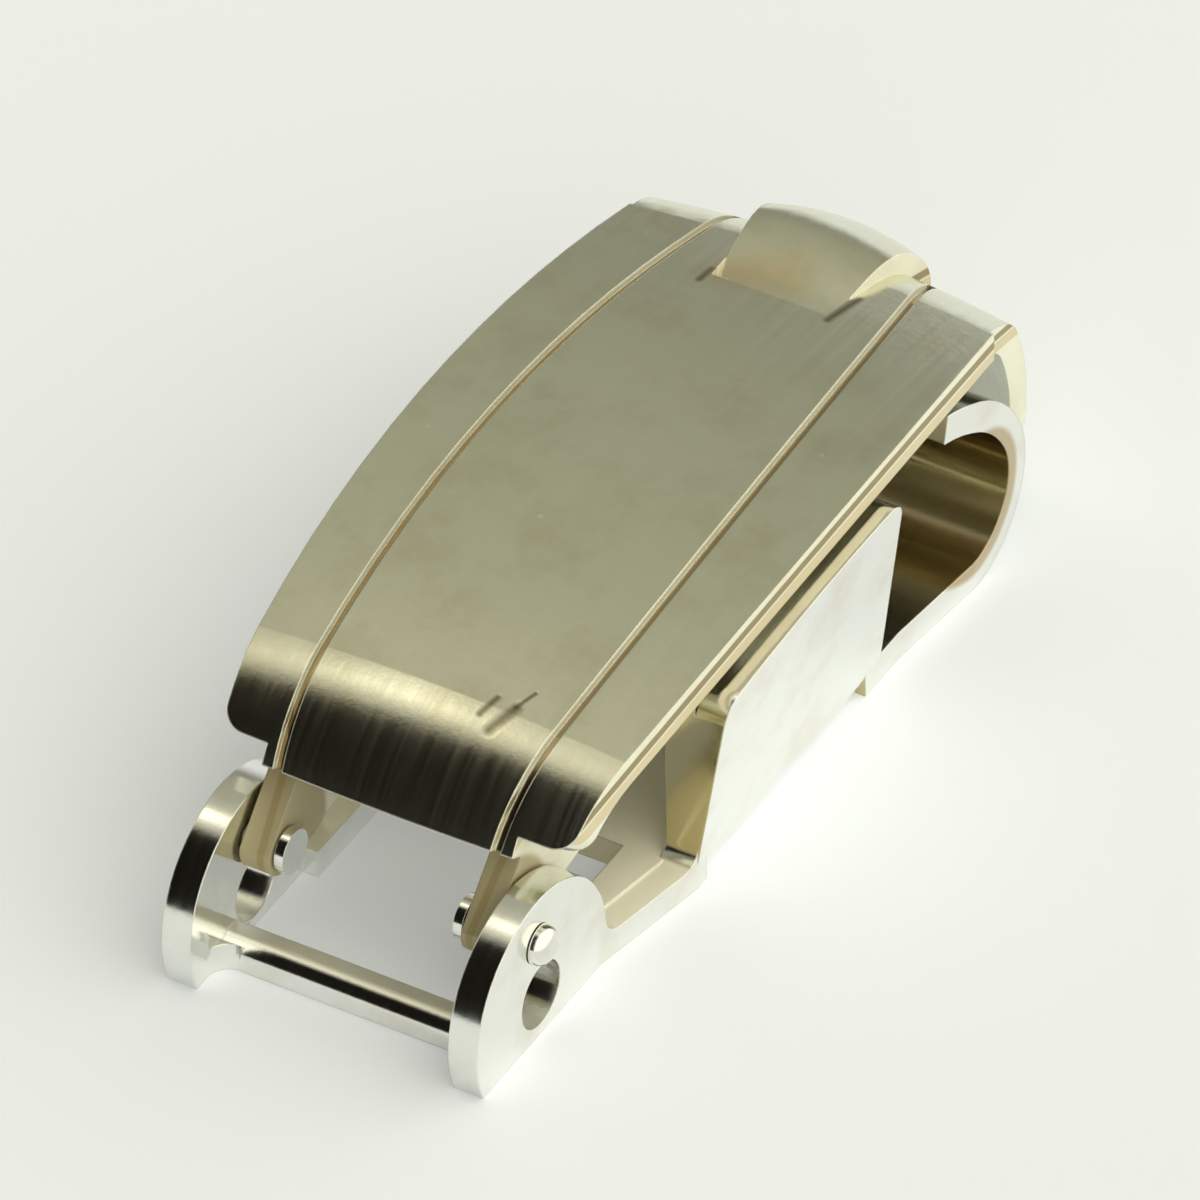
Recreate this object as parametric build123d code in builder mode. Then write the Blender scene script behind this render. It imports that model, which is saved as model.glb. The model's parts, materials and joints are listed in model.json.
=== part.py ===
from build123d import *
from collections import namedtuple
from math import asin, cos, degrees, hypot, radians, sin, sqrt, tan
import os

# Fold-over bracelet clasp, closed, in millimetres.
# X runs from the hinge end to the lip end, Y is the width and Z is up.
# The origin is under the middle of the clasp, on the surface that it rests on.

# Overall sizes
clasp_length = 21.4
cover_width = 9.0
cover_end_width = 7.64
sheet = 0.65
crown = 0.33

# Cover: slopes and radii of the line along its middle
hinge_edge_slope = 60.0
hinge_shoulder_slope = 13.0
hinge_bend_radius = 3.36
lip_shoulder_slope = -10.0
lip_bend_radius = 2.04
wall_top_slope = -60.0
wall_foot_slope = -92.0
wall_foot_height = 0.8
wall_top_width = 8.2
wall_foot_width = 6.9
wall_corner_radius = 0.9
cover_corner_radius = 0.5
ear_relief = 0.45

# Grooves along the cover
groove_width = 0.2
groove_depth = 0.14
groove_hinge_spacing = 4.62
groove_middle_spacing = 5.64
groove_lip_spacing = 4.4

# Raised bridge at the lip, whose stations hold shares of its length and of its rise
bridge_root_width = 2.6
bridge_lip_width = 3.5
bridge_rise = 0.7
bridge_crown = 0.3
bridge_sheet = 0.5
bridge_lead = 1.95
bridge_length = 5.4
window_margin = 0.06
Station = namedtuple("Station", "length rise")
bridge_stations = [
    Station(0.00, 0.00),
    Station(0.12, 0.12),
    Station(0.30, 0.62),
    Station(0.46, 0.95),
    Station(0.60, 1.00),
    Station(0.76, 0.80),
    Station(0.90, 0.22),
    Station(1.00, 0.00),
]

# Hinge ears of the base
ear_radius = 2.4
ear_centre_height = 0.95
ear_spacing = 7.06
ear_gap = 0.3
cover_edge_bearing = 67.9

# Hinge
pivot_rise = 1.35
pivot_setback = 0.05
shank_diameter = 0.6
head_diameter = 0.86
head_height = 0.32
tail_diameter = 0.95
tail_height = 0.2
shank_fit = 0.05
seat_gap = 0.02

# Side flanges of the cover, one inside each ear
flange_side_gap = 0.08
flange_length = 7.8
flange_end_depth = 2.2
flange_heel_slope = 75.0
swing_gap = 0.05

# Holes in the ears for a bracelet's pin, and the cross strip under it
pin_hole_diameter = 1.44
pin_way_clearance = 0.05
strip_width = 0.75
strip_start = 1.05
strip_corner_radius = 0.45
strip_rounding = 0.38

# Side tabs and arms of the base
tab_foot_spacing = 8.1
tab_lean = 9.8
tab_start = 7.45
tab_top_length = 6.7
tab_foot_length = 7.15
tab_gap = 0.18
tab_corner_radius = 0.55
fold_radius = 0.6
arm_height = 0.6
arm_start = 4.6
arm_fillet = 0.4
ledge_width = 0.35
ledge_setback = 1.0
floor_start = 7.2

# Hook at the lip end of the base
hook_width = 8.6
hook_radius = 2.06
hook_turn = 118.0
hook_back_reach = 2.9
hook_wall_gap = 0.55
hook_top_gap = 0.2

# Distance by which a cut or a trim reaches past the metal
past = 1.0


def along(centre, reach, slope):
    """Side-view point at a distance from a bend's centre, where the bend's slope is as given."""
    return (centre[0] - reach * sin(radians(slope)), centre[1] + reach * cos(radians(slope)))


# Places of the ear, the pivot and the cover's hinge edge in the side view
ear_centre = (-clasp_length / 2 + ear_radius, ear_centre_height)
pivot = (ear_centre[0] - pivot_setback, ear_centre[1] + pivot_rise)
edge_inside = along(ear_centre, ear_radius + ear_gap, cover_edge_bearing - 90)
cover_start = along(edge_inside, sheet + crown, hinge_edge_slope)

# Shares of each bend's radius that it adds along X, and along Z
hinge_bend_run = sin(radians(hinge_edge_slope)) - sin(radians(hinge_shoulder_slope))
hinge_bend_climb = cos(radians(hinge_shoulder_slope)) - cos(radians(hinge_edge_slope))
arch_run = sin(radians(hinge_shoulder_slope)) - sin(radians(lip_shoulder_slope))
arch_climb = cos(radians(lip_shoulder_slope)) - cos(radians(hinge_shoulder_slope))
lip_bend_run = sin(radians(lip_shoulder_slope)) - sin(radians(wall_top_slope))
lip_bend_drop = cos(radians(lip_shoulder_slope)) - cos(radians(wall_top_slope))
wall_run = 1 + sin(radians(wall_top_slope))
wall_drop = cos(radians(wall_top_slope)) - cos(radians(wall_foot_slope))

# The arch fills the length that the bends leave, and the wall ends at its foot height
wall_lean = wall_run / wall_drop
fixed_run = hinge_bend_radius * hinge_bend_run + lip_bend_radius * lip_bend_run
fixed_climb = hinge_bend_radius * hinge_bend_climb - lip_bend_radius * lip_bend_drop
foot_drop = cover_start[1] + fixed_climb - wall_foot_height
cover_run = clasp_length / 2 - cover_start[0]
arch_radius = (cover_run - fixed_run - wall_lean * foot_drop) / (arch_run + wall_lean * arch_climb)
wall_radius = (foot_drop + arch_radius * arch_climb) / wall_drop

# Centres of the four bends, each on the normal that it shares with the one before
hinge_bend_centre = along(cover_start, -hinge_bend_radius, hinge_edge_slope)
arch_centre = along(hinge_bend_centre, hinge_bend_radius - arch_radius, hinge_shoulder_slope)
lip_bend_centre = along(arch_centre, arch_radius - lip_bend_radius, lip_shoulder_slope)
wall_centre = along(lip_bend_centre, lip_bend_radius - wall_radius, wall_top_slope)

Bend = namedtuple("Bend", "first last centre radius")
cover_bends = [
    Bend(hinge_edge_slope, hinge_shoulder_slope, hinge_bend_centre, hinge_bend_radius),
    Bend(hinge_shoulder_slope, lip_shoulder_slope, arch_centre, arch_radius),
    Bend(lip_shoulder_slope, wall_top_slope, lip_bend_centre, lip_bend_radius),
    Bend(wall_top_slope, wall_foot_slope, wall_centre, wall_radius),
]


def cover_point(slope, depth):
    """Side-view point of the cover's middle section at a slope, this deep under its outer face."""
    bend = next(bend for bend in cover_bends if slope >= bend.last)
    return along(bend.centre, bend.radius - depth, slope)


def trace_cover(first, last, depth):
    """Arcs along the cover from one slope to another, drawn in the open line context."""
    for bend in cover_bends:
        begin = min(first, bend.first)
        end = max(last, bend.last)
        if begin > end:
            ThreePointArc(
                along(bend.centre, bend.radius - depth, begin),
                along(bend.centre, bend.radius - depth, (begin + end) / 2),
                along(bend.centre, bend.radius - depth, end),
            )


def arch_slope(x, depth):
    """Slope of the arch where a line this deep under its outer face passes X."""
    return degrees(asin((arch_centre[0] - x) / (arch_radius - depth)))


def arch_height(x, depth):
    """Height of the arch at X, this deep under its outer face."""
    return arch_centre[1] + sqrt((arch_radius - depth) ** 2 - (x - arch_centre[0]) ** 2)


underside = sheet + crown
section_radius = (cover_width**2 / 4 + crown**2) / (2 * crown)
lip_start = cover_point(lip_shoulder_slope, 0)
cover_middle = (cover_start[0] + clasp_length / 2) / 2
ear_outside = ear_spacing / 2
ear_inside = ear_outside - sheet
flange_outside = ear_inside - flange_side_gap
flange_inside = flange_outside - sheet


def cover_strip(depth):
    """The cover's whole curved strip, this thick under its crowned outer face."""
    across = cover_width / 2 + past / 10
    sag = section_radius - sqrt(section_radius**2 - across**2)
    slope = radians(hinge_edge_slope)
    edge_plane = Plane(
        origin=(cover_start[0], 0, cover_start[1]),
        x_dir=(0, 1, 0),
        z_dir=(cos(slope), 0, sin(slope)),
    )
    with BuildPart() as strip:
        with BuildLine(Plane.XZ) as middle:
            trace_cover(hinge_edge_slope, wall_foot_slope, 0)
        with BuildSketch(edge_plane):
            with BuildLine():
                ThreePointArc((-across, -sag), (0, 0), (across, -sag))
                Line((across, -sag), (across, -sag - depth))
                ThreePointArc((across, -sag - depth), (0, -depth), (-across, -sag - depth))
                Line((-across, -sag - depth), (-across, -sag))
            make_face()
        sweep(path=middle.wire())
    return strip.part


def bridge_slope(distance):
    """Slope at a distance along the cover's outer face, from the lip bend's start."""
    lip_bend_length = lip_bend_radius * radians(lip_shoulder_slope - wall_top_slope)
    if distance < 0:
        return lip_shoulder_slope - degrees(distance / arch_radius)
    if distance < lip_bend_length:
        return lip_shoulder_slope - degrees(distance / lip_bend_radius)
    return wall_top_slope - degrees((distance - lip_bend_length) / wall_radius)


def bridge_point(station):
    """Side-view point of the bridge's outer face at a station."""
    slope = bridge_slope(station.length * bridge_length - bridge_lead)
    return cover_point(slope, (sheet - bridge_sheet) / 2 - station.rise * bridge_rise)


def groove_plan_points(side, shift):
    """Plan points of one edge of a groove: at the hinge end, the middle and the lip bend."""
    groove_end = bridge_slope(lip_bend_radius / 2)
    return (
        (cover_start[0] - past, side * (groove_hinge_spacing / 2 + shift)),
        (cover_middle, side * (groove_middle_spacing / 2 + shift)),
        (cover_point(groove_end, 0)[0], side * (groove_lip_spacing / 2 + shift)),
    )


# The flanges' heel stays clear of a pin in the ears' holes as the cover swings open
pin_hole = ear_centre
pivot_to_pin = hypot(pin_hole[0] - pivot[0], pin_hole[1] - pivot[1])
flange_heel_radius = pivot_to_pin - pin_hole_diameter / 2 - swing_gap
flange_end_slope = arch_slope(pivot[0] + flange_length, underside)

# Thin strips of the cover's outer face along the two grooves
with BuildPart() as groove_cutter:
    add(cover_strip(groove_depth))
    with BuildSketch(Plane.XY) as groove_plan:
        for side in (-1, 1):
            with BuildLine():
                inner_side = ThreePointArc(*groove_plan_points(side, -groove_width / 2))
                outer_side = ThreePointArc(*groove_plan_points(side, groove_width / 2))
                Line(inner_side @ 0, outer_side @ 0)
                Line(inner_side @ 1, outer_side @ 1)
            make_face()
    extrude(amount=clasp_length, mode=Mode.INTERSECT)

# The bridge's ends lie inside the sheet, and the window ends before them
window_first = bridge_slope(bridge_length * window_margin - bridge_lead)
window_last = bridge_slope(bridge_length * (1 - window_margin) - bridge_lead)

# Plan of the bridge between its slits, which open out towards the lip
bridge_root = cover_point(window_first, 0)[0]
with BuildSketch(Plane.XY) as bridge_plan:
    with BuildLine():
        Polyline(
            (bridge_root - past, -bridge_root_width / 2),
            (bridge_root, -bridge_root_width / 2),
            (clasp_length / 2, -bridge_lip_width / 2),
            (clasp_length / 2 + past, -bridge_lip_width / 2),
            (clasp_length / 2 + past, bridge_lip_width / 2),
            (clasp_length / 2, bridge_lip_width / 2),
            (bridge_root, bridge_root_width / 2),
            (bridge_root - past, bridge_root_width / 2),
            close=True,
        )
    make_face()

# Window under the bridge, cut through the lip end
with BuildPart() as window_cutter:
    with BuildSketch(Plane.XZ) as window_side:
        with BuildLine():
            trace_cover(window_first, window_last, -past / 4)
            trace_cover(window_first, window_last, underside)
            Line(cover_point(window_first, -past / 4), cover_point(window_first, underside))
            Line(cover_point(window_last, -past / 4), cover_point(window_last, underside))
        make_face()
    extrude(amount=cover_width / 2, both=True)
    extrude(bridge_plan.sketch, amount=clasp_length, mode=Mode.INTERSECT)

# Bridge lanced out of the sheet, raised over the lip bend
with BuildPart() as bridge:
    with BuildLine(Plane.XZ) as bridge_line:
        bridge_curve = Spline([bridge_point(station) for station in bridge_stations])
    across = bridge_lip_width / 2 + past / 10
    section_plane = Plane(origin=bridge_curve @ 0, x_dir=(0, 1, 0), z_dir=bridge_curve % 0)
    with BuildSketch(section_plane):
        with BuildLine():
            ThreePointArc((-across, -bridge_crown), (0, 0), (across, -bridge_crown))
            Line((across, -bridge_crown), (across, -bridge_crown - bridge_sheet))
            ThreePointArc(
                (across, -bridge_crown - bridge_sheet),
                (0, -bridge_sheet),
                (-across, -bridge_crown - bridge_sheet),
            )
            Line((-across, -bridge_crown - bridge_sheet), (-across, -bridge_crown))
        make_face()
    sweep(path=bridge_line.wire())
    extrude(bridge_plan.sketch, amount=clasp_length, mode=Mode.INTERSECT)

# Cover strip with its plan outline, widest at the middle
with BuildPart() as cover:
    add(cover_strip(sheet))
    with BuildSketch(Plane.XY) as cover_plan:
        with BuildLine():
            for side in (-1, 1):
                ThreePointArc(
                    (cover_start[0], side * cover_end_width / 2),
                    (cover_middle, side * cover_width / 2),
                    (clasp_length / 2, side * cover_end_width / 2),
                )
            Line((clasp_length / 2, -cover_end_width / 2), (clasp_length / 2, cover_end_width / 2))
            Line((cover_start[0], -cover_end_width / 2), (cover_start[0], cover_end_width / 2))
        make_face()
    extrude(amount=clasp_length, mode=Mode.INTERSECT)

    # The end wall narrows towards its round-cornered foot
    with BuildSketch(Plane.YZ.offset(lip_start[0])) as wall_sides:
        for side in (-1, 1):
            with BuildLine():
                Polyline(
                    (side * wall_foot_width / 2, wall_foot_height - past),
                    (side * wall_foot_width / 2, wall_foot_height),
                    (side * wall_top_width / 2, lip_start[1]),
                    (side * cover_width, lip_start[1]),
                    (side * cover_width, wall_foot_height - past),
                    close=True,
                )
            make_face()
    extrude(amount=clasp_length, mode=Mode.SUBTRACT)
    foot_face = cover.faces().sort_by(Axis.Z)[0]
    foot_corners = foot_face.edges().filter_by(GeomType.LINE).sort_by(Axis.Y)
    fillet([foot_corners[0], foot_corners[-1]], radius=wall_corner_radius)

    # Over the ears, the hinge edge is cut back, to round outer corners
    relief_slope = hinge_edge_slope - degrees(ear_relief / hinge_bend_radius)
    for side in (-1, 1):
        with BuildSketch(Plane.XZ.offset(side * flange_outside)):
            with BuildLine():
                Polyline(
                    cover_point(relief_slope, -past),
                    cover_point(relief_slope, underside + past),
                    cover_point(hinge_edge_slope + relief_slope, underside + past),
                    cover_point(hinge_edge_slope + relief_slope, -past),
                    close=True,
                )
            make_face()
        extrude(amount=side * cover_width, mode=Mode.SUBTRACT)
    relief_x = cover_point(relief_slope, sheet / 2)[0]
    relief_edges = cover.edges().filter_by_position(Axis.X, relief_x - sheet, relief_x + sheet).sort_by(Axis.Y)
    fillet([relief_edges[0], relief_edges[-1]], radius=cover_corner_radius)

    # Grooves from the hinge end to the lip bend, as deep as a thin outer strip of the cover
    add(groove_cutter.part, mode=Mode.SUBTRACT)

    # Window under the bridge, and the bridge lanced out of it
    add(window_cutter.part, mode=Mode.SUBTRACT)
    add(bridge.part)

    # Side flanges, which hold the pivot between the ears
    for flange_start in (-flange_outside, flange_inside):
        with BuildSketch(Plane.XZ.offset(-flange_start)):
            with BuildLine():
                trace_cover(hinge_edge_slope, flange_end_slope, underside / 2)
                heel = ThreePointArc(
                    along(pivot, flange_heel_radius, flange_heel_slope),
                    (pivot[0] - flange_heel_radius, pivot[1]),
                    (pivot[0], pivot[1] - flange_heel_radius),
                )
                Polyline(
                    heel @ 1,
                    cover_point(flange_end_slope, underside + flange_end_depth),
                    cover_point(flange_end_slope, underside / 2),
                )
                Line(heel @ 0, cover_point(hinge_edge_slope, underside / 2))
            make_face()
        extrude(amount=-sheet)
    with BuildSketch(Plane.XZ) as pivot_hole:
        with Locations(pivot):
            Circle(shank_diameter / 2 + shank_fit)
    extrude(amount=cover_width / 2, both=True, mode=Mode.SUBTRACT)
cover.part.label = "cover"

# Side view of the hook: two bends that turn the same way, from the floor up and back
hook_start = (clasp_length / 2 - underside - hook_wall_gap - hook_radius, 0)
hook_bend_centre = (hook_start[0], hook_radius)
hook_shoulder = along(hook_bend_centre, -hook_radius, hook_turn)
hook_tip_x = hook_start[0] + hook_radius - hook_back_reach
hook_tip = (hook_tip_x, arch_height(hook_tip_x, underside + hook_top_gap))
tip_run = (hook_tip[0] - hook_shoulder[0], hook_tip[1] - hook_shoulder[1])
inward = (-sin(radians(hook_turn)), cos(radians(hook_turn)))
hook_back_radius = hypot(*tip_run) ** 2 / (2 * (tip_run[0] * inward[0] + tip_run[1] * inward[1]))
hook_back_centre = (
    hook_shoulder[0] + hook_back_radius * inward[0],
    hook_shoulder[1] + hook_back_radius * inward[1],
)
hook_back_turn = 2 * degrees(asin(hypot(*tip_run) / (2 * hook_back_radius)))
floor_x = -clasp_length / 2 + floor_start
tab_x = -clasp_length / 2 + tab_start
tab_outside = tab_foot_spacing / 2
tab_inside = tab_outside - sheet
tab_slope = tan(radians(tab_lean))
tab_reach = arch_centre[1] + arch_radius


def trace_hook(depth):
    """Arcs of the hook this deep inside its outer face, drawn in the open line context."""
    ThreePointArc(
        along(hook_bend_centre, depth - hook_radius, 0),
        along(hook_bend_centre, depth - hook_radius, hook_turn / 2),
        along(hook_bend_centre, depth - hook_radius, hook_turn),
    )
    ThreePointArc(
        along(hook_back_centre, depth - hook_back_radius, hook_turn),
        along(hook_back_centre, depth - hook_back_radius, hook_turn + hook_back_turn / 2),
        along(hook_back_centre, depth - hook_back_radius, hook_turn + hook_back_turn),
    )


# Side walls of the base: leaning tabs, arms that flare out to them, and ears
with BuildPart() as side_walls:
    with BuildSketch(Plane.YZ.offset(tab_x)) as tab_section:
        for side in (-1, 1):
            with BuildLine():
                Polyline(
                    (side * (tab_outside - fold_radius), 0),
                    (side * (tab_inside - fold_radius), 0),
                    (side * (tab_inside - fold_radius), sheet),
                    (side * (tab_inside + tab_slope * (sheet - fold_radius)), sheet),
                    (side * (tab_inside + tab_slope * (tab_reach - fold_radius)), tab_reach),
                    (side * (tab_outside + tab_slope * (tab_reach - fold_radius)), tab_reach),
                    (side * tab_outside, fold_radius),
                )
                ThreePointArc(
                    (side * tab_outside, fold_radius),
                    (
                        side * (tab_outside - fold_radius * (1 - cos(radians(45)))),
                        fold_radius * (1 - sin(radians(45))),
                    ),
                    (side * (tab_outside - fold_radius), 0),
                )
            make_face()
    extrude(amount=tab_foot_length + past)
    with BuildSketch(Plane.XY) as arm_plan:
        for side in (-1, 1):
            with BuildLine():
                Polyline(
                    (-clasp_length / 2, side * ear_inside),
                    (-clasp_length / 2 + arm_start, side * ear_inside),
                    (tab_x + sheet / 2, side * tab_inside),
                    (tab_x + sheet / 2, side * tab_outside),
                    (tab_x, side * tab_outside),
                    (-clasp_length / 2 + arm_start, side * ear_outside),
                    (-clasp_length / 2, side * ear_outside),
                    close=True,
                )
            make_face()
    extrude(amount=2 * ear_radius)
    with BuildSketch(Plane.XZ) as side_outline:
        with Locations(ear_centre):
            Circle(ear_radius)
        with BuildLine():
            top_depth = underside + tab_gap
            top_ends = (tab_x, tab_x + tab_top_length)
            Polyline((ear_centre[0], arm_height), (tab_x, arm_height), (tab_x, arch_height(tab_x, top_depth)))
            ThreePointArc(
                (top_ends[0], arch_height(top_ends[0], top_depth)),
                (sum(top_ends) / 2, arch_height(sum(top_ends) / 2, top_depth)),
                (top_ends[1], arch_height(top_ends[1], top_depth)),
            )
            Polyline(
                (top_ends[1], arch_height(top_ends[1], top_depth)),
                (tab_x + tab_foot_length, 0),
                (ear_centre[0], 0),
                (ear_centre[0], arm_height),
            )
        make_face()
        with Locations((0, -ear_radius)):
            Rectangle(2 * clasp_length, 2 * ear_radius, mode=Mode.SUBTRACT)
        inner_corners = [
            corner
            for corner in side_outline.vertices()
            if abs(corner.Y - arm_height) < sheet / 10
        ]
        fillet(inner_corners, radius=arm_fillet)
        top_corners = side_outline.vertices().filter_by_position(Axis.X, tab_x - sheet, clasp_length / 2)
        top_corners = top_corners.filter_by_position(Axis.Y, tab_reach / 2, tab_reach)
        fillet(top_corners, radius=tab_corner_radius)
    extrude(amount=cover_width, both=True, mode=Mode.INTERSECT)

# Floor and hook of one sheet, with the side walls folded up from it
with BuildPart() as base:
    with BuildSketch(Plane.XZ) as hook_side:
        with BuildLine():
            trace_hook(0)
            trace_hook(sheet)
            last_turn = hook_turn + hook_back_turn
            Line(
                along(hook_back_centre, -hook_back_radius, last_turn),
                along(hook_back_centre, sheet - hook_back_radius, last_turn),
            )
            Polyline(
                hook_start,
                (-clasp_length / 2, 0),
                (-clasp_length / 2, sheet),
                (hook_start[0], sheet),
            )
        make_face()
    extrude(amount=hook_width / 2, both=True)
    with BuildSketch(Plane.XY) as floor_plan:
        tab_end = tab_x + tab_foot_length
        fold_start = tab_outside - fold_radius
        ledge_side = ear_inside - ledge_width
        ledge_x = pin_hole[0] + pin_hole_diameter / 2 + ledge_setback
        for side in (-1, 1):
            with BuildLine():
                Polyline(
                    (clasp_length / 2, 0),
                    (clasp_length / 2, side * hook_width / 2),
                    (hook_start[0], side * hook_width / 2),
                    (tab_end + sheet, side * tab_outside),
                    (tab_end - sheet, side * tab_outside),
                    (tab_end - sheet, side * fold_start),
                    (tab_x, side * fold_start),
                    (ledge_x, side * ear_inside),
                    (ledge_x, side * ledge_side),
                    (floor_x, side * ledge_side),
                    (floor_x, 0),
                    close=True,
                )
            make_face()
    extrude(amount=clasp_length, mode=Mode.INTERSECT)
    add(side_walls.part)

    # Cross strip between the ears' feet, rounded along its outer upper edge
    strip_x = -clasp_length / 2 + strip_start
    with BuildSketch(Plane.XZ) as strip_side:
        with Locations((strip_x + strip_width / 2, sheet / 2)):
            Rectangle(strip_width, sheet)
        fillet(strip_side.vertices().group_by(Axis.X)[0].sort_by(Axis.Y)[-1], radius=strip_rounding)
    extrude(amount=ear_inside + sheet / 2, both=True)

    # Round corners where the strip meets the ears
    with BuildSketch(Plane.XY) as strip_corners:
        for side in (-1, 1):
            for edge_x, turn in ((strip_x, -1), (strip_x + strip_width, 1)):
                with BuildLine():
                    corner_x = edge_x + turn * strip_corner_radius
                    corner_y = side * (ear_inside - strip_corner_radius)
                    shrink = strip_corner_radius * (1 - sqrt(0.5))
                    Line((edge_x, corner_y), (edge_x, side * ear_inside))
                    Line((edge_x, side * ear_inside), (corner_x, side * ear_inside))
                    ThreePointArc(
                        (corner_x, side * ear_inside),
                        (edge_x + turn * shrink, side * (ear_inside - shrink)),
                        (edge_x, corner_y),
                    )
                make_face()
    extrude(amount=sheet)
    with BuildSketch(Plane.XZ) as ear_holes:
        with Locations(pin_hole):
            Circle(pin_hole_diameter / 2)
        with Locations(pivot):
            Circle(shank_diameter / 2 + seat_gap)
    extrude(amount=cover_width, both=True, mode=Mode.SUBTRACT)

    # The strip's rounded corners are cut back flat, clear of a pin in the ears' holes
    with BuildSketch(Plane.XZ) as pin_way:
        with Locations(pin_hole):
            RegularPolygon(pin_hole_diameter / 2 + pin_way_clearance, side_count=8, major_radius=False)
    extrude(amount=ear_inside, both=True, mode=Mode.SUBTRACT)
base.part.label = "base"


def make_rivet(side):
    """Hinge rivet of one side: a domed head outside the ear and a flat tail inside the flange."""
    outward = Plane(origin=(pivot[0], side * ear_outside, pivot[1]), x_dir=(1, 0, 0), z_dir=(0, side, 0))
    tail_seat = ear_outside - flange_inside + shank_fit
    with BuildPart() as rivet:
        with BuildSketch(outward.offset(-tail_seat)):
            Circle(shank_diameter / 2)
        extrude(amount=tail_seat + head_height / 2)
        with BuildSketch(outward.offset(-tail_seat - tail_height)):
            Circle(tail_diameter / 2)
        extrude(amount=tail_height)
        with BuildSketch(outward.offset(seat_gap)):
            Circle(head_diameter / 2)
        extrude(amount=head_height)
        head_edge = rivet.edges().filter_by(GeomType.CIRCLE).sort_by(Axis.Y)[-1 if side > 0 else 0]
        fillet(head_edge, radius=head_height * 0.95)
    return rivet.part


rivet_right = make_rivet(-1)
rivet_right.label = "rivet_right"
rivet_left = make_rivet(1)
rivet_left.label = "rivet_left"

os.makedirs("parts", exist_ok=True)
export_step(cover.part, "parts/cover.step")
export_step(base.part, "parts/base.step")
export_step(rivet_right, "parts/rivet_right.step")
export_step(rivet_left, "parts/rivet_left.step")
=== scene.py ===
import json
import math
from collections import namedtuple

import bpy
from bpy.props import FloatProperty, FloatVectorProperty, PointerProperty
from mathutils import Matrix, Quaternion, Vector


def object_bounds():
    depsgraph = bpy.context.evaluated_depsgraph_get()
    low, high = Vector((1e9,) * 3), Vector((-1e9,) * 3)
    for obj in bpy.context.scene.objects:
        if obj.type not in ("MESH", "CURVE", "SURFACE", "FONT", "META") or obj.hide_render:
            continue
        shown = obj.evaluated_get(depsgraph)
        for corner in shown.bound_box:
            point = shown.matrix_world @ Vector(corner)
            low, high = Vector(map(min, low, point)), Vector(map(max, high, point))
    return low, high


bl_info = {
    "name": "Fold-over clasp",
    "version": (1, 0, 0),
    "blender": (4, 5, 0),
    "location": "View3D > Sidebar > Clasp",
    "description": "Finishes the sheet-metal clasp and sets up its studio",
    "category": "Object",
}

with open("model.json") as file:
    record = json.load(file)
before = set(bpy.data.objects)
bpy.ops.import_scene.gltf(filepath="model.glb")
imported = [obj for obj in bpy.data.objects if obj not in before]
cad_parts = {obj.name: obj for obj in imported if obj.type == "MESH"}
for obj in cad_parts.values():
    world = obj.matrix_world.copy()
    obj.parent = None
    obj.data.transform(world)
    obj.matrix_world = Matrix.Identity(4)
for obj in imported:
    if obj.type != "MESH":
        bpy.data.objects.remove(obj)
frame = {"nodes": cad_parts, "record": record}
cad_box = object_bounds()
nodes = frame["nodes"]
clasp_middle = (cad_box[0] + cad_box[1]) / 2
pivot = frame["record"]["behaviour"]["joints"][0]["pos_m"]


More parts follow.
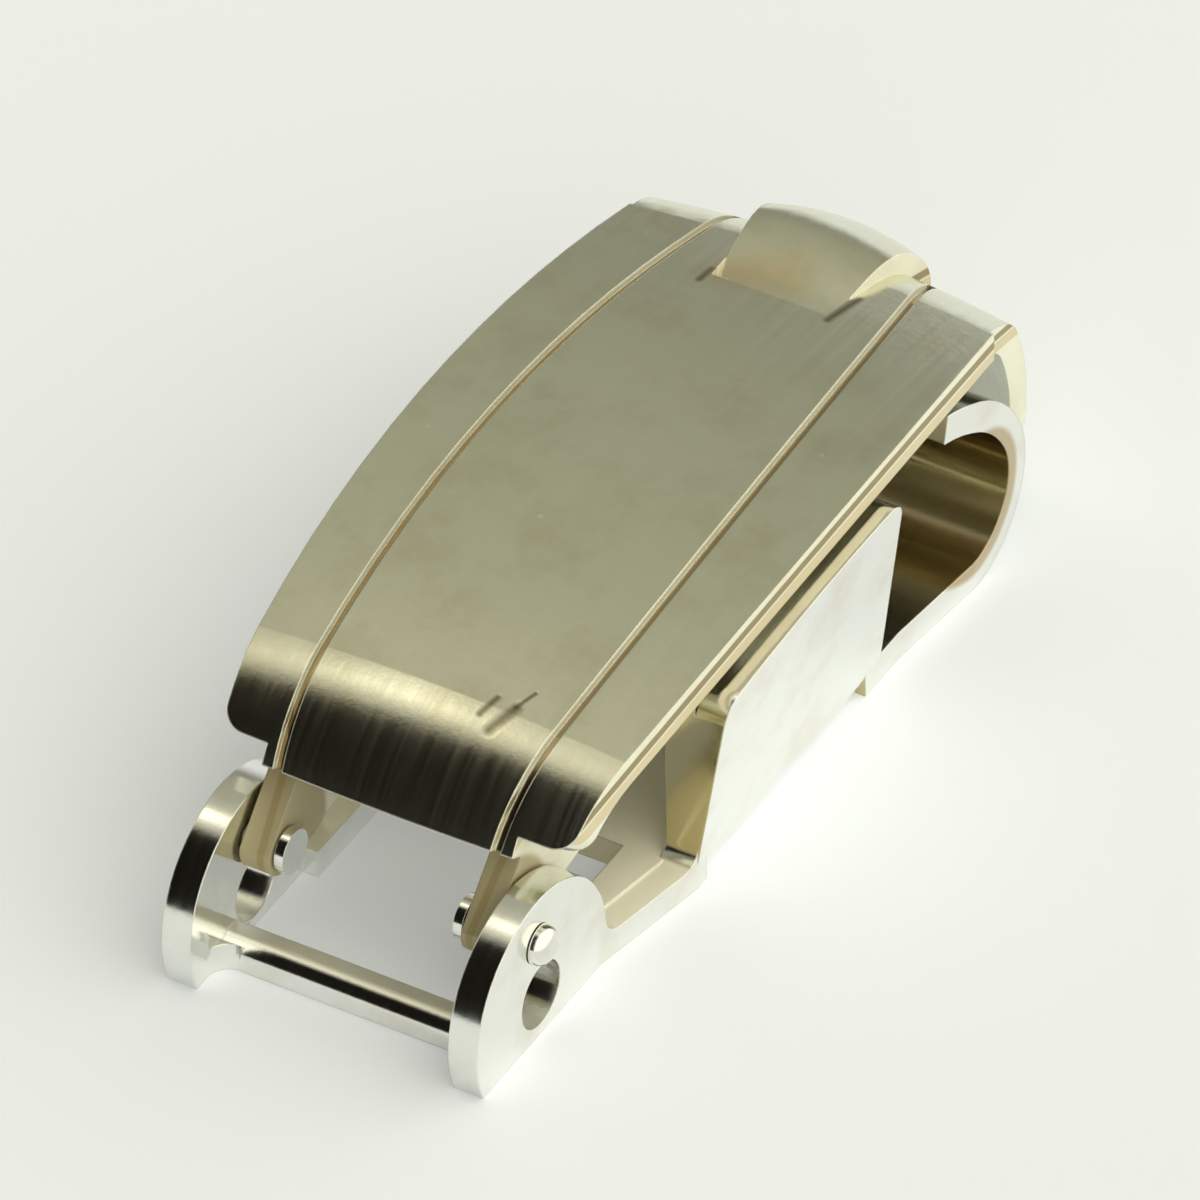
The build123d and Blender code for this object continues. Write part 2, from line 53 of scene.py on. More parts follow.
class ClaspMetal(bpy.types.PropertyGroup):
    """Colours and finish of the plated sheet."""

    cover_tint: FloatVectorProperty(
        name="Cover tint", description="Colour of the cover's satin plating",
        subtype="COLOR", min=0.0, max=1.0, default=(0.8, 0.8, 0.66),
    )
    base_tint: FloatVectorProperty(
        name="Base tint", description="Colour of the base's polished plating",
        subtype="COLOR", min=0.0, max=1.0, default=(0.86, 0.87, 0.83),
    )
    # Also laid inside the hook bend as painted shade
    tarnish_and_shade_tint: FloatVectorProperty(
        name="Tarnish tint", description="Golden brown of the worn and tarnished places",
        subtype="COLOR", min=0.0, max=1.0, default=(0.5, 0.38, 0.2),
    )
    cover_roughness: FloatProperty(
        name="Cover roughness", description="Roughness of the satin cover",
        subtype="FACTOR", min=0.0, max=1.0, default=0.2,
    )
    base_roughness: FloatProperty(
        name="Base roughness", description="Roughness of the polished base",
        subtype="FACTOR", min=0.0, max=1.0, default=0.14,
    )
    speck_tint: FloatVectorProperty(
        name="Speck tint", description="Colour of the small bright specks",
        subtype="COLOR", min=0.0, max=1.0, default=(0.95, 0.93, 0.85),
    )
    brush_length: FloatProperty(
        name="Brush length", description="Length of the satin finish's brush marks",
        unit="LENGTH", min=0.0, default=0.004, precision=5,
    )
    brush_width: FloatProperty(
        name="Brush width", description="Width of the satin finish's brush marks",
        unit="LENGTH", min=0.0, default=0.00012, precision=5,
    )
    brush_depth: FloatProperty(
        name="Brush depth", description="Depth of the brush marks",
        unit="LENGTH", min=0.0, default=0.000004, precision=6,
    )
    cover_brush: FloatProperty(
        name="Cover brush marks", description="Strength of the brush marks on the cover",
        subtype="FACTOR", min=0.0, max=1.0, default=0.3,
    )
    base_brush: FloatProperty(
        name="Base brush marks", description="Strength of the brush marks on the base",
        subtype="FACTOR", min=0.0, max=1.0, default=0.15,
    )
    rivet_brush: FloatProperty(
        name="Rivet brush marks", description="Strength of the brush marks on the rivets",
        subtype="FACTOR", min=0.0, max=1.0, default=0.1,
    )
    pit_density: FloatProperty(
        name="Pit density", description="Number of small pits in a metre", min=0.0, default=3000.0,
    )
    pit_depth: FloatProperty(
        name="Pit depth", description="Depth of the small pits",
        unit="LENGTH", min=0.0, default=0.00001, precision=6,
    )
    pit_strength: FloatProperty(
        name="Pit strength", description="Strength of the pits where there are no brush marks",
        subtype="FACTOR", min=0.0, max=1.0, default=0.1,
    )
    speck_density: FloatProperty(
        name="Speck density", description="Number of places for a speck in a metre",
        min=0.0, default=1400.0,
    )
    speck_share: FloatProperty(
        name="Speck share", description="Share of the specks' colour laid over the plating",
        subtype="FACTOR", min=0.0, max=1.0, default=0.6,
    )
    cloud_density: FloatProperty(
        name="Cloud density", description="Number of tarnish clouds in a metre", min=0.0, default=700.0,
    )
    cloud_share: FloatProperty(
        name="Cloud share", description="Share of the tarnish laid over the plating in its clouds",
        subtype="FACTOR", min=0.0, max=1.0, default=0.3,
    )
    cut_metallic: FloatProperty(
        name="Cut edge metallic", description="How metallic the cover's cut edges look",
        subtype="FACTOR", min=0.0, max=1.0, default=0.2,
    )
    cut_roughness: FloatProperty(
        name="Cut edge roughness", description="Roughness of the cover's cut edges",
        subtype="FACTOR", min=0.0, max=1.0, default=0.5,
    )
    plate_metallic: FloatProperty(
        name="Plate metallic", description="How metallic the floor plate's upper face looks",
        subtype="FACTOR", min=0.0, max=1.0, default=0.05,
    )
    plate_roughness: FloatProperty(
        name="Plate roughness", description="Roughness of the floor plate's upper face",
        subtype="FACTOR", min=0.0, max=1.0, default=0.55,
    )


class ClaspMarks(bpy.types.PropertyGroup):
    """Places and sizes of the marks, stains and wear, of the painted shade in the grooves and inside
    the hook, and of the painted warm light on the floor plate.
    """

    # Painted shade: the brown laid along the grooves stands in for the shade inside them
    groove_shade_tint: FloatVectorProperty(
        name="Groove tint", description="Brown of the tarnish in the grooves",
        subtype="COLOR", min=0.0, max=1.0, default=(0.36, 0.25, 0.11),
    )
    groove_width: FloatProperty(
        name="Groove width", description="Width of the tarnish in each groove",
        unit="LENGTH", min=0.0, default=0.00014, precision=6,
    )
    groove_middle: FloatProperty(
        name="Groove middle",
        description="Place along the clasp from which the grooves' shape is measured",
        unit="LENGTH", default=0.00128, precision=6,
    )
    groove_reach: FloatProperty(
        name="Groove reach", description="Distance of each groove from the middle of the width",
        unit="LENGTH", default=0.00282, precision=6,
    )
    groove_taper: FloatProperty(
        name="Groove taper", description="Change of the reach per length along the clasp",
        default=-0.0235,
    )
    groove_bend: FloatProperty(
        name="Groove bend", description="Change of the reach per squared length", default=-6.96,
    )
    arch_middle: FloatProperty(
        name="Arch middle", description="Place along the clasp of the cover arch's centre",
        unit="LENGTH", default=0.002055, precision=6,
    )
    arch_depth: FloatProperty(
        name="Arch depth", description="Depth of the cover arch's centre under the base",
        unit="LENGTH", default=0.029261, precision=6,
    )
    arch_radius: FloatProperty(
        name="Arch radius", description="Radius of the cover's side edges along the arch",
        unit="LENGTH", default=0.035382, precision=6,
    )
    hook_middle: FloatProperty(
        name="Hook middle", description="Place along the clasp of the hook bend's centre",
        unit="LENGTH", default=0.00711, precision=6,
    )
    hook_height: FloatProperty(
        name="Hook height", description="Height of the hook bend's centre",
        unit="LENGTH", default=0.00206, precision=6,
    )
    edge_tint: FloatVectorProperty(
        name="Edge tint", description="Golden brown of the tabs' cut front edges",
        subtype="COLOR", min=0.0, max=1.0, default=(0.5, 0.42, 0.18),
    )
    heel_tint: FloatVectorProperty(
        name="Heel tint", description="Golden brown of the flanges around the pivot",
        subtype="COLOR", min=0.0, max=1.0, default=(0.36, 0.29, 0.13),
    )
    # Painted warm light: the plate's cream and its finish below stand in for warm light in the pocket
    # under the cover
    plate_light_tint: FloatVectorProperty(
        name="Plate tint", description="Cream of the floor plate's upper face",
        subtype="COLOR", min=0.0, max=1.0, default=(1.0, 0.96, 0.78),
    )
    plate_top: FloatProperty(
        name="Plate top", description="Height below which upward faces have the plate's finish",
        unit="LENGTH", default=0.0007, precision=6,
    )
    plate_start: FloatProperty(
        name="Plate start", description="Place along the clasp before which the finish is fainter",
        unit="LENGTH", default=-0.0075, precision=6,
    )
    plate_end: FloatProperty(
        name="Plate end", description="Place along the clasp where the plate's finish begins to fade",
        unit="LENGTH", default=0.002, precision=6,
    )
    plate_fade: FloatProperty(
        name="Plate fade", description="Length over which the finish fades at the plate's end",
        unit="LENGTH", default=0.002, precision=6,
    )
    front_fade: FloatProperty(
        name="Front fade", description="Length over which the finishes of the plate and the tabs begin",
        unit="LENGTH", default=0.0005, precision=6,
    )
    heel_reach: FloatProperty(
        name="Heel reach",
        description="Distance from the pivot within which the flanges are tarnished",
        unit="LENGTH", default=0.00145, precision=6,
    )
    tab_front: FloatProperty(
        name="Tab front", description="Place along the clasp where the side tabs begin",
        unit="LENGTH", default=-0.0034, precision=6,
    )
    # Painted shade: within this radius the hook's inside is darkened with the tarnish colour
    hook_shade_radius: FloatProperty(
        name="Hook inside", description="Radius within which the hook is stained",
        unit="LENGTH", default=0.0017, precision=6,
    )
    stain_share: FloatProperty(
        name="Stain share",
        description="Share of the tint in the grooves, on the heel and on the base's cut edges",
        subtype="FACTOR", min=0.0, max=1.0, default=0.8,
    )
    hook_shade_share: FloatProperty(
        name="Hook share", description="Share of the tarnish inside the hook",
        subtype="FACTOR", min=0.0, max=1.0, default=0.85,
    )
    plate_light_share: FloatProperty(
        name="Plate share", description="Share of the plate's tint",
        subtype="FACTOR", min=0.0, max=1.0, default=0.9,
    )
    strip_share: FloatProperty(
        name="Strip share", description="Share of the plate's finish before the plate's start",
        subtype="FACTOR", min=0.0, max=1.0, default=0.4,
    )


class ClaspEdges(bpy.types.PropertyGroup):
    """Rounding of the sheet's stamped edges."""

    sheet_edge: FloatProperty(
        name="Sheet edge", description="Width of the rounding along the sheet's edges",
        unit="LENGTH", min=0.0, default=0.00005, precision=6,
    )
    rivet_edge: FloatProperty(
        name="Rivet edge", description="Width of the rounding along the rivets' edges",
        unit="LENGTH", min=0.0, default=0.00002, precision=6,
    )


class ClaspStage(bpy.types.PropertyGroup):
    """Floor, light and camera."""

    floor_tint: FloatVectorProperty(
        name="Floor tint", description="Colour of the plain floor",
        subtype="COLOR", min=0.0, max=1.0, default=(0.84, 0.88, 0.93),
    )
    floor_size: FloatProperty(
        name="Floor size", description="Length of the floor's sides",
        unit="LENGTH", default=4.0,
    )
    floor_roughness: FloatProperty(
        name="Floor roughness", description="Roughness of the floor",
        subtype="FACTOR", min=0.0, max=1.0, default=0.8,
    )
    floor_shine: FloatProperty(
        name="Floor shine", description="Strength of the floor's reflections",
        subtype="FACTOR", min=0.0, max=1.0, default=0.2,
    )
    floor_glow_tint: FloatVectorProperty(
        name="Floor glow tint", description="Colour of the floor's own light",
        subtype="COLOR", min=0.0, max=1.0, default=(0.94, 0.97, 1.0),
    )
    floor_glow: FloatProperty(
        name="Floor glow", description="Strength of the floor's own light", min=0.0, default=0.2,
    )
    side_tint: FloatVectorProperty(
        name="Side light tint", description="Brightness and colour of the light from the right side",
        subtype="COLOR", min=0.0, max=4.0, default=(1.5, 1.45, 1.25),
    )
    lamp_way: FloatVectorProperty(
        name="Lamp direction", description="Direction from the clasp to the lamp",
        subtype="DIRECTION", default=(0.07, 0.42, 0.9),
    )
    lamp_spread: FloatProperty(
        name="Lamp spread", description="Reach of the lamp's soft edge on the unit sphere",
        min=0.0, default=0.16,
    )
    lamp_tint: FloatVectorProperty(
        name="Lamp tint", description="Brightness and colour of the lamp",
        subtype="COLOR", min=0.0, max=4.0, default=(1.9, 1.8, 1.4),
    )
    camera_turn: FloatProperty(
        name="Camera turn", description="Direction of the camera around the clasp",
        subtype="ANGLE", default=math.radians(301.39),
    )
    camera_rise: FloatProperty(
        name="Camera rise", description="Height of the camera above the horizon",
        subtype="ANGLE", default=math.radians(40.53),
    )
    camera_roll: FloatProperty(
        name="Camera roll", description="Turn of the camera about its line of sight",
        subtype="ANGLE", default=math.radians(-1.39),
    )
    camera_distance: FloatProperty(
        name="Camera distance", description="Distance of the camera from the clasp",
        unit="LENGTH", default=0.3626,
    )
    camera_lens: FloatProperty(
        name="Camera lens", description="Focal length of the camera in millimetres",
        min=1.0, default=560.0,
    )
    camera_sensor: FloatProperty(
        name="Camera sensor", description="Width of the camera's sensor in millimetres",
        min=1.0, default=36.0,
    )


# Values between which a mask fades, from where it is one to where it is nothing
Range = namedtuple("Range", "full none")

# Parts of a face's direction or of a direction to the room
facing_side = Range(0.9, 0.7)
facing_up = Range(0.95, 0.8)
facing_front = Range(-0.95, -0.8)
side_light = Range(-0.3, -0.1)

# Values of the cloud noise, a speck's radius in cells, and the random value of the cells that hold one
cloud_noise = Range(0.85, 0.4)
speck_radius = Range(0.05, 0.11)
speck_choice = Range(0.86, 0.84)

# Shares of the groove's width, of the hook's and the heel's reach, and of the plate's top
groove_edge = Range(0.4, 0.75)
hook_edge = Range(0.95, 1.05)
heel_edge = Range(1.0, 1.15)
plate_edge = Range(1.0, 1.1)

# Noise values of the lowest and the highest brush marks, and their shares of the roughness
Span = namedtuple("Span", "low high")
brush_noise = Span(0.3, 0.7)
brush_roughness = Span(0.85, 1.2)

# Nearest and farthest that the camera sees, as shares of its distance
clip_near = 0.1
clip_far = 100.0

# Straight marks on the cover, seen from above, in metres: the nicks near the hinge, painted shadows at
# the slits' roots and the bridge's ramp. Each fades out at its reach from its line, and is pressed in
# by its depth.
Mark = namedtuple("Mark", "start end reach depth tint share")
nick_tint = (0.16, 0.13, 0.07)
slit_shadow_tint = (0.2, 0.13, 0.07)
ramp_tint = (0.75, 0.56, 0.28)
cover_marks = [
    Mark((-0.0062, -0.00105), (-0.00575, -0.00117), 0.00012, 0.000006, nick_tint, 0.8),
    Mark((-0.00645, -0.0014), (-0.0058, -0.00162), 0.0002, 0.000012, nick_tint, 0.8),
    Mark((-0.0058, -0.0016), (-0.00535, -0.00178), 0.00008, 0.000006, nick_tint, 0.8),
    # Painted shadows: dark brown lines beside the slits' roots
    Mark((0.0065, -0.00138), (0.0075, -0.00152), 0.00014, 0.0, slit_shadow_tint, 0.8),
    Mark((0.00635, 0.00142), (0.0068, 0.0014), 0.00014, 0.0, slit_shadow_tint, 0.8),
    Mark((0.0069, 0.0009), (0.0073, 0.0), 0.001, 0.0, ramp_tint, 0.5),
]

# Bands of the cover's cut side edge, from their top to their bottom under the rim, in metres
Band = namedtuple("Band", "top bottom tint")
edge_bands = [
    Band(0.0001, 0.00034, (0.3, 0.24, 0.12)),
    Band(0.00034, 0.0007, (0.66, 0.58, 0.38)),
]
band_fade = 0.00005

# Light of the room from beyond the hinge, at 0, to beyond the lip, at 1
Stop = namedtuple("Stop", "place tint")
room_stops = [
    Stop(0.0, (0.008, 0.007, 0.005)),
    Stop(0.375, (0.008, 0.007, 0.005)),
    Stop(0.45, (0.7, 0.66, 0.52)),
    Stop(0.53, (0.95, 0.9, 0.72)),
    Stop(0.6, (0.58, 0.56, 0.43)),
    Stop(0.7, (0.44, 0.43, 0.33)),
    Stop(0.84, (0.36, 0.36, 0.28)),
    Stop(0.915, (0.27, 0.27, 0.22)),
    Stop(0.95, (0.86, 0.89, 0.87)),
    Stop(1.0, (0.86, 0.89, 0.87)),
]


def add_node(tree, kind, settings=None, **inputs):
    """New shader node with its settings and its inputs, each a value or another node's output.

    An input goes by its name, with underscores for spaces, or by its number, as in at0.
    """
    made = tree.nodes.new(kind)
    for name, value in (settings or {}).items():
        setattr(made, name, value)
    for name, value in inputs.items():
        key = int(name[2:]) if name.startswith("at") else name.replace("_", " ")
        socket = made.inputs[key]
        if isinstance(value, bpy.types.NodeSocket):
            tree.links.new(value, socket)
        else:
            socket.default_value = value
    return made


def calculate(tree, operation, first, second=0.0):
    """Result of a math node on two values or outputs."""
    made = add_node(tree, "ShaderNodeMath", {"operation": operation}, at0=first, at1=second)
    return made.outputs["Value"]


def combine(tree, operation, first, second):
    """Outputs of a vector math node on two vectors or outputs."""
    made = add_node(tree, "ShaderNodeVectorMath", {"operation": operation}, at0=first, at1=second)
    return made.outputs


def coordinate(tree, kind):
    """One of the texture coordinates."""
    return add_node(tree, "ShaderNodeTexCoord").outputs[kind]


def split(tree, vector):
    """Outputs for the X, Y and Z of a vector."""
    return add_node(tree, "ShaderNodeSeparateXYZ", Vector=vector).outputs


def fade(tree, value, full, none):
    """Mask that is one where the value is at full, and falls to nothing where it is at none."""
    return add_node(
        tree, "ShaderNodeMapRange", {"interpolation_type": "SMOOTHSTEP"},
        Value=value, From_Min=none, From_Max=full,
    ).outputs["Result"]


def tinted(tree, mask, colour, tint):
    """Colour with a tint laid over it where the mask is one."""
    under = colour if isinstance(colour, bpy.types.NodeSocket) else (*colour, 1)
    made = add_node(
        tree, "ShaderNodeMix", {"data_type": "RGBA"}, at0=mask, at6=under, at7=(*tint, 1),
    )
    return made.outputs[2]


def groove_mask(tree, place, marks):
    """Mask of the two curved grooves along the cover."""
    parts = split(tree, place)
    run = calculate(tree, "SUBTRACT", parts["X"], marks.groove_middle)
    bend = calculate(tree, "MULTIPLY", run, marks.groove_bend)
    slope = calculate(tree, "ADD", bend, marks.groove_taper)
    swing = calculate(tree, "MULTIPLY", slope, run)
    reach = calculate(tree, "ADD", swing, marks.groove_reach)
    gap = calculate(tree, "SUBTRACT", calculate(tree, "ABSOLUTE", parts["Y"]), reach)
    width = marks.groove_width
    return fade(
        tree, calculate(tree, "ABSOLUTE", gap), width * groove_edge.full, width * groove_edge.none,
    )


def side_mask(tree):
    """Mask of the faces that look sideways."""
    facing = split(tree, coordinate(tree, "Normal"))
    return fade(tree, calculate(tree, "ABSOLUTE", facing["Y"]), *facing_side)


def plate_mask(tree, place, marks):
    """Mask of the floor plate's upper face, fainter before its start and fading at its end."""
    facing = split(tree, coordinate(tree, "Normal"))
    parts = split(tree, place)
    top = marks.plate_top
    low = fade(tree, parts["Z"], top * plate_edge.full, top * plate_edge.none)
    upper = calculate(tree, "MULTIPLY", fade(tree, facing["Z"], *facing_up), low)
    before_end = fade(tree, parts["X"], marks.plate_end, marks.plate_end + marks.plate_fade)
    upper = calculate(tree, "MULTIPLY", upper, before_end)
    after_start = fade(tree, parts["X"], marks.plate_start, marks.plate_start - marks.front_fade)
    share = calculate(tree, "MAXIMUM", after_start, marks.strip_share)
    return calculate(tree, "MULTIPLY", upper, share)


def tab_mask(tree, place, marks):
    """Mask of the cut edges that face the hinge, from the side tabs' front on."""
    facing = split(tree, coordinate(tree, "Normal"))
    parts = split(tree, place)
    behind = fade(tree, parts["X"], marks.tab_front, marks.tab_front - marks.front_fade)
    return calculate(tree, "MULTIPLY", fade(tree, facing["X"], *facing_front), behind)


def radius_from(tree, place, x, z):
    """Distance from a crosswise line in the side view."""
    flat = combine(tree, "MULTIPLY", place, (1, 0, 1))["Vector"]
    return combine(tree, "DISTANCE", flat, (x, 0, z))["Value"]


def radius_mask(tree, radius, reach, edge):
    """Mask within a reach, with an edge in shares of the reach."""
    return fade(tree, radius, reach * edge.full, reach * edge.none)


def band_mask(tree, depth, band):
    """Mask of one band of the cover's cut side edge."""
    return calculate(
        tree, "MULTIPLY",
        fade(tree, depth, band.top + band_fade, band.top),
        fade(tree, depth, band.bottom - band_fade, band.bottom),
    )


def stroke_mask(tree, place, mark):
    """Mask of one straight mark, seen from above."""
    start = Vector((*mark.start, 0))
    run = Vector((*mark.end, 0)) - start
    flat = combine(tree, "MULTIPLY", place, (1, 1, 0))["Vector"]
    away = combine(tree, "SUBTRACT", flat, start)["Vector"]
    along = combine(tree, "DOT_PRODUCT", away, run / run.dot(run))["Value"]
    share = add_node(tree, "ShaderNodeClamp", Value=along).outputs["Result"]
    foot = add_node(tree, "ShaderNodeVectorMath", {"operation": "SCALE"}, at0=run, Scale=share)
    gap = combine(tree, "DISTANCE", away, foot.outputs["Vector"])["Value"]
    return fade(tree, gap, 0.0, mark.reach)


def plated_metal(name, tint, roughness, metal, brushed, edge):
    """Plated brass sheet with brush marks, cloudy tarnish, small pits and specks."""
    made = bpy.data.materials.new(name)
    made.use_nodes = True
    tree = made.node_tree
    shader = tree.nodes["Principled BSDF"]
    shader.inputs["Metallic"].default_value = 1.0
    place = coordinate(tree, "Object")

    clouds = add_node(
        tree, "ShaderNodeTexNoise",
        Vector=place, Scale=metal.cloud_density, Detail=4.0, Roughness=0.6,
    ).outputs["Fac"]
    cloudy = calculate(tree, "MULTIPLY", fade(tree, clouds, *cloud_noise), metal.cloud_share)
    colour = tinted(tree, cloudy, tint, metal.tarnish_and_shade_tint)
    cells = add_node(tree, "ShaderNodeTexVoronoi", Vector=place, Scale=metal.speck_density).outputs
    chosen = add_node(tree, "ShaderNodeSeparateColor", Color=cells["Color"]).outputs["Red"]
    speck = calculate(
        tree, "MULTIPLY",
        fade(tree, cells["Distance"], *speck_radius), fade(tree, chosen, *speck_choice),
    )
    speckled = calculate(tree, "MULTIPLY", speck, metal.speck_share)
    colour = tinted(tree, speckled, colour, metal.speck_tint)

    stretched = add_node(
        tree, "ShaderNodeMapping",
        Vector=place, Scale=(1 / metal.brush_length, 1 / metal.brush_width, 1 / metal.brush_length),
    ).outputs["Vector"]
    brush = add_node(
        tree, "ShaderNodeTexNoise", Vector=stretched, Scale=1.0, Detail=3.0,
    ).outputs["Fac"]
    rough = add_node(
        tree, "ShaderNodeMapRange", Value=brush,
        From_Min=brush_noise.low, From_Max=brush_noise.high,
        To_Min=roughness * brush_roughness.low, To_Max=roughness * brush_roughness.high,
    ).outputs["Result"]
    tree.links.new(rough, shader.inputs["Roughness"])

    pits = add_node(
        tree, "ShaderNodeTexNoise",
        Vector=place, Scale=metal.pit_density, Detail=5.0, Roughness=0.65,
    ).outputs["Fac"]
    rounded = add_node(tree, "ShaderNodeBevel", {"samples": 6}, Radius=edge).outputs["Normal"]
    normal = add_node(
        tree, "ShaderNodeBump",
        Height=brush, Strength=brushed, Distance=metal.brush_depth, Normal=rounded,
    ).outputs["Normal"]
    normal = add_node(
        tree, "ShaderNodeBump",
        Height=pits, Strength=metal.pit_strength + brushed, Distance=metal.pit_depth, Normal=normal,
    ).outputs["Normal"]
    tree.links.new(colour, shader.inputs["Base Color"])
    tree.links.new(normal, shader.inputs["Normal"])
    return made


def stain(material, mask, tint, share=1.0):
    """Lays a share of a tint over a material's colour where the mask is one."""
    tree = material.node_tree
    socket = tree.nodes["Principled BSDF"].inputs["Base Color"]
    before = socket.links[0].from_socket
    tree.links.new(tinted(tree, calculate(tree, "MULTIPLY", mask, share), before, tint), socket)


def dent(material, mask, depth):
    """Presses a mask's shape into a material."""
    tree = material.node_tree
    socket = tree.nodes["Principled BSDF"].inputs["Normal"]
    pressed = add_node(
        tree, "ShaderNodeBump", {"invert": True},
        Height=mask, Strength=1.0, Distance=depth, Normal=socket.links[0].from_socket,
    )
    tree.links.new(pressed.outputs["Normal"], socket)


def dull(material, mask, metallic, roughness):
    """Makes a material less metallic and rougher where the mask is one."""
    tree = material.node_tree
    for name, value in (("Metallic", metallic), ("Roughness", roughness)):
        socket = tree.nodes["Principled BSDF"].inputs[name]
        before = socket.links[0].from_socket if socket.links else socket.default_value
        mixed = add_node(tree, "ShaderNodeMix", at0=mask, at2=before, at3=value)
        tree.links.new(mixed.outputs[0], socket)


def finish_node(piece, material):
    """Gives a node its material."""
    piece.data.materials.clear()
    piece.data.materials.append(material)


class CLASP_OT_cover(bpy.types.Operator):
    """Finish the cover in satin plating with rounded edges"""

    bl_idname = "clasp.cover"
    bl_label = "Finish the cover"

    def execute(self, context):
        metal = context.scene.clasp_metal
        edge = context.scene.clasp_edges.sheet_edge
        marks = context.scene.clasp_marks
        satin = plated_metal(
            "satin_plating", metal.cover_tint, metal.cover_roughness, metal, metal.cover_brush, edge,
        )
        tree = satin.node_tree
        place = coordinate(tree, "Object")
        # Painted shade: brown laid along the two grooves
        stain(satin, groove_mask(tree, place, marks), marks.groove_shade_tint, marks.stain_share)

        # The sheet's cut side edge: bright at its rim, brown in the middle and golden below
        sideways = side_mask(tree)
        arch = radius_from(tree, place, marks.arch_middle, -marks.arch_depth)
        depth = calculate(tree, "SUBTRACT", marks.arch_radius, arch)
        for band in edge_bands:
            mask = calculate(tree, "MULTIPLY", band_mask(tree, depth, band), sideways)
            stain(satin, mask, band.tint)

        turning = radius_from(tree, place, pivot[0], pivot[2])
        heel = radius_mask(tree, turning, marks.heel_reach, heel_edge)
        stain(satin, heel, marks.heel_tint, marks.stain_share)
        cut = calculate(tree, "MAXIMUM", sideways, heel)
        dull(satin, cut, metal.cut_metallic, metal.cut_roughness)

        for mark in cover_marks:
            mask = stroke_mask(tree, place, mark)
            stain(satin, mask, mark.tint, mark.share)
            if mark.depth:
                dent(satin, mask, mark.depth)
        finish_node(nodes["cover"], satin)
        return {"FINISHED"}


class CLASP_OT_base(bpy.types.Operator):
    """Finish the base in polished plating with rounded edges"""

    bl_idname = "clasp.base"
    bl_label = "Finish the base"

    def execute(self, context):
        metal = context.scene.clasp_metal
        edge = context.scene.clasp_edges.sheet_edge
        marks = context.scene.clasp_marks
        polished = plated_metal(
            "polished_plating", metal.base_tint, metal.base_roughness, metal, metal.base_brush, edge,
        )
        tree = polished.node_tree
        place = coordinate(tree, "Object")
        # Painted shade: the tarnish colour darkens the inside of the hook bend
        bend = radius_from(tree, place, marks.hook_middle, marks.hook_height)
        inside = radius_mask(tree, bend, marks.hook_shade_radius, hook_edge)
        stain(polished, inside, metal.tarnish_and_shade_tint, marks.hook_shade_share)
        stain(polished, tab_mask(tree, place, marks), marks.edge_tint, marks.stain_share)
        # Painted warm light: bright cream on the floor plate's upper face, which is also made duller
        # and rougher
        plate = plate_mask(tree, place, marks)
        stain(polished, plate, marks.plate_light_tint, marks.plate_light_share)
        dull(polished, plate, metal.plate_metallic, metal.plate_roughness)
        finish_node(nodes["base"], polished)
        return {"FINISHED"}


class CLASP_OT_rivets(bpy.types.Operator):
    """Finish the two hinge rivets"""

    bl_idname = "clasp.rivets"
    bl_label = "Finish the rivets"

    def execute(self, context):
        metal = context.scene.clasp_metal
        edge = context.scene.clasp_edges.rivet_edge
        plain = plated_metal(
            "rivet_plating", metal.base_tint, metal.base_roughness, metal, metal.rivet_brush, edge,
        )
        for name in ("rivet_left", "rivet_right"):
            finish_node(nodes[name], plain)
        return {"FINISHED"}


def make_floor(stage):
    """Plain pale floor under the clasp."""
    half = stage.floor_size / 2
    corners = [(-half, -half, 0), (half, -half, 0), (half, half, 0), (-half, half, 0)]
    mesh = bpy.data.meshes.new("floor")
    mesh.from_pydata(corners, [], [(0, 1, 2, 3)])
    floor = bpy.data.objects.new("floor", mesh)
    bpy.context.scene.collection.objects.link(floor)
    paint = bpy.data.materials.new("floor_paint")
    paint.use_nodes = True
    shader = paint.node_tree.nodes["Principled BSDF"]
    shader.inputs["Base Color"].default_value = (*stage.floor_tint, 1)
    shader.inputs["Roughness"].default_value = stage.floor_roughness
    shader.inputs["Specular IOR Level"].default_value = stage.floor_shine
    shader.inputs["Emission Color"].default_value = (*stage.floor_glow_tint, 1)
    shader.inputs["Emission Strength"].default_value = stage.floor_glow
    mesh.materials.append(paint)


def make_light(stage):
    """Soft studio light: a room graded along the clasp, a bright right side and a lamp overhead."""
    world = bpy.data.worlds.new("studio")
    bpy.context.scene.world = world
    world.use_nodes = True
    tree = world.node_tree
    way = coordinate(tree, "Generated")
    parts = split(tree, way)
    along = add_node(
        tree, "ShaderNodeMapRange", Value=parts["X"], From_Min=-1.0, From_Max=1.0,
    ).outputs["Result"]
    ramp = add_node(tree, "ShaderNodeValToRGB", Fac=along)
    stops = ramp.color_ramp.elements
    stops.remove(stops[-1])
    for stop in room_stops[1:]:
        stops.new(stop.place)
    for made, stop in zip(stops, room_stops):
        made.color = (*stop.tint, 1)
    right = fade(tree, parts["Y"], *side_light)
    lit = tinted(tree, right, ramp.outputs["Color"], stage.side_tint)
    away = combine(tree, "DISTANCE", way, Vector(stage.lamp_way).normalized())["Value"]
    lit = tinted(tree, fade(tree, away, 0.0, stage.lamp_spread), lit, stage.lamp_tint)
    background = tree.nodes["Background"]
    tree.links.new(lit, background.inputs["Color"])
    background.inputs["Strength"].default_value = 1.0


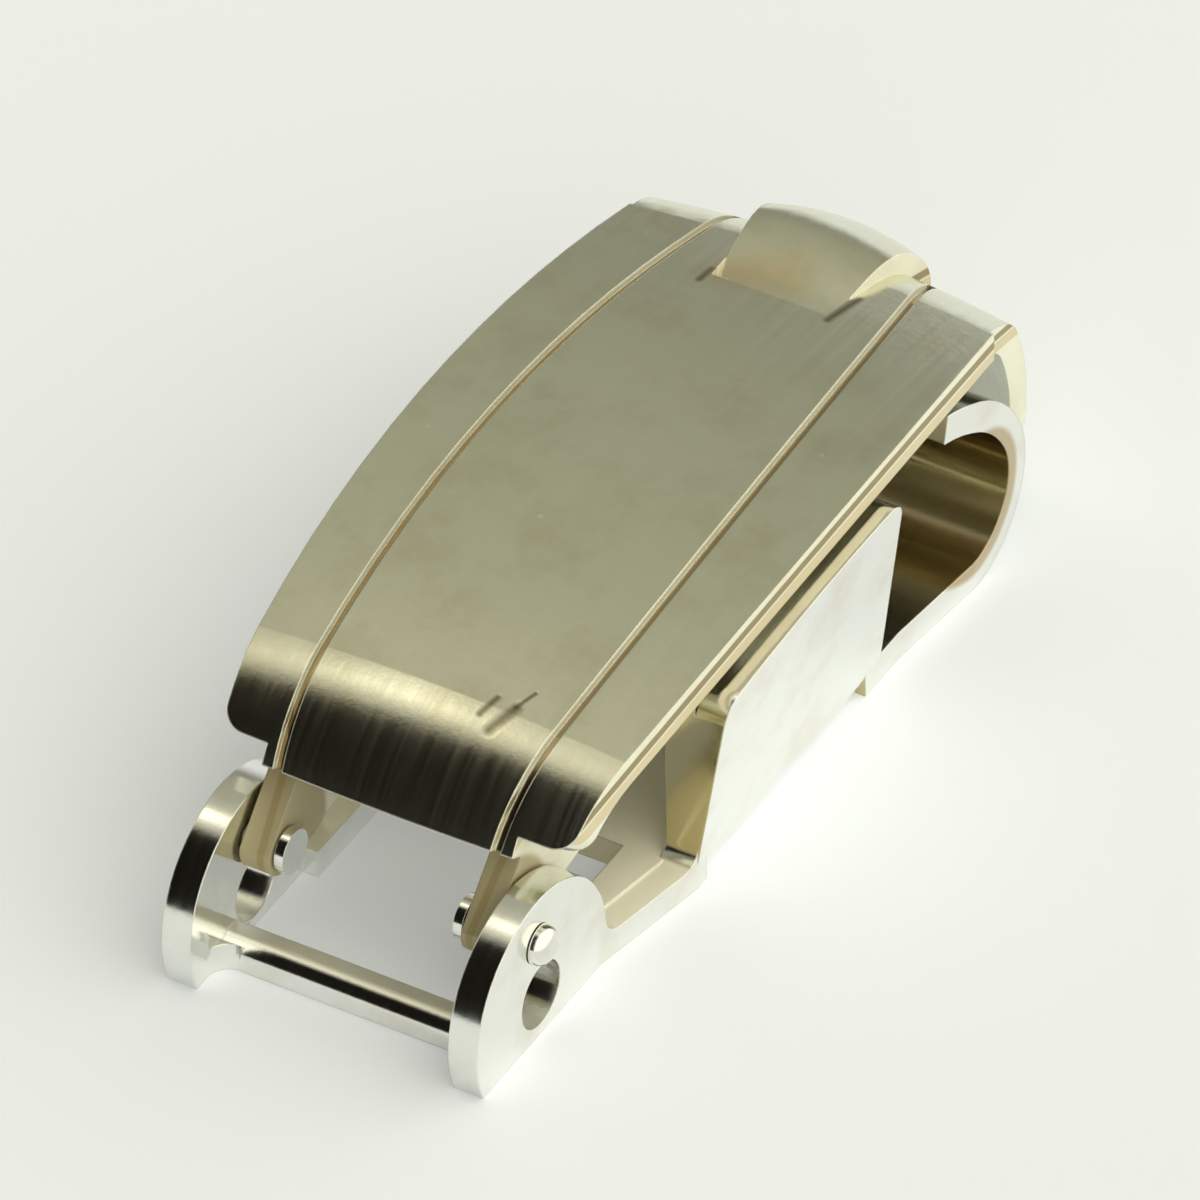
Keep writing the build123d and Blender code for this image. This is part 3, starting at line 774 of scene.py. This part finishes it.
def make_camera(stage):
    """Camera at the photograph's viewing angle."""
    turn = stage.camera_turn
    rise = stage.camera_rise
    level_reach = math.cos(rise)
    back = Vector((math.sin(turn) * level_reach, -math.cos(turn) * level_reach, math.sin(rise)))
    data = bpy.data.cameras.new("camera")
    data.lens = stage.camera_lens
    data.sensor_width = stage.camera_sensor
    data.clip_start = stage.camera_distance * clip_near
    data.clip_end = stage.camera_distance * clip_far
    camera = bpy.data.objects.new("camera", data)
    bpy.context.scene.collection.objects.link(camera)
    camera.location = clasp_middle + back * stage.camera_distance
    level = (-back).to_track_quat("-Z", "Y")
    camera.rotation_euler = (level @ Quaternion((0, 0, 1), stage.camera_roll)).to_euler()
    bpy.context.scene.camera = camera


class CLASP_OT_stage(bpy.types.Operator):
    """Set up the floor, the light and the camera"""

    bl_idname = "clasp.stage"
    bl_label = "Set up the stage"

    def execute(self, context):
        stage = context.scene.clasp_stage
        make_floor(stage)
        make_light(stage)
        make_camera(stage)
        context.scene.view_settings.view_transform = "Standard"
        return {"FINISHED"}


class CLASP_PT_panel(bpy.types.Panel):
    """Lists the clasp's steps and sizes"""

    bl_idname = "CLASP_PT_panel"
    bl_label = "Fold-over clasp"
    bl_space_type = "VIEW_3D"
    bl_region_type = "UI"
    bl_category = "Clasp"

    def draw(self, context):
        for name, kind in groups.items():
            box = self.layout.box()
            for size in kind.__annotations__:
                box.prop(getattr(context.scene, name), size)
        for operator in steps:
            self.layout.operator(operator.bl_idname)


groups = {
    "clasp_metal": ClaspMetal,
    "clasp_marks": ClaspMarks,
    "clasp_edges": ClaspEdges,
    "clasp_stage": ClaspStage,
}
steps = (CLASP_OT_cover, CLASP_OT_base, CLASP_OT_rivets, CLASP_OT_stage)


def register():
    for made in (*groups.values(), *steps, CLASP_PT_panel):
        bpy.utils.register_class(made)
    for name, group in groups.items():
        setattr(bpy.types.Scene, name, PointerProperty(type=group))


def unregister():
    for name in groups:
        delattr(bpy.types.Scene, name)
    for made in reversed((*groups.values(), *steps, CLASP_PT_panel)):
        bpy.utils.unregister_class(made)


def main():
    register()
    bpy.ops.clasp.cover()
    bpy.ops.clasp.base()
    bpy.ops.clasp.rivets()
    bpy.ops.clasp.stage()


if __name__ == "__main__":
    main()
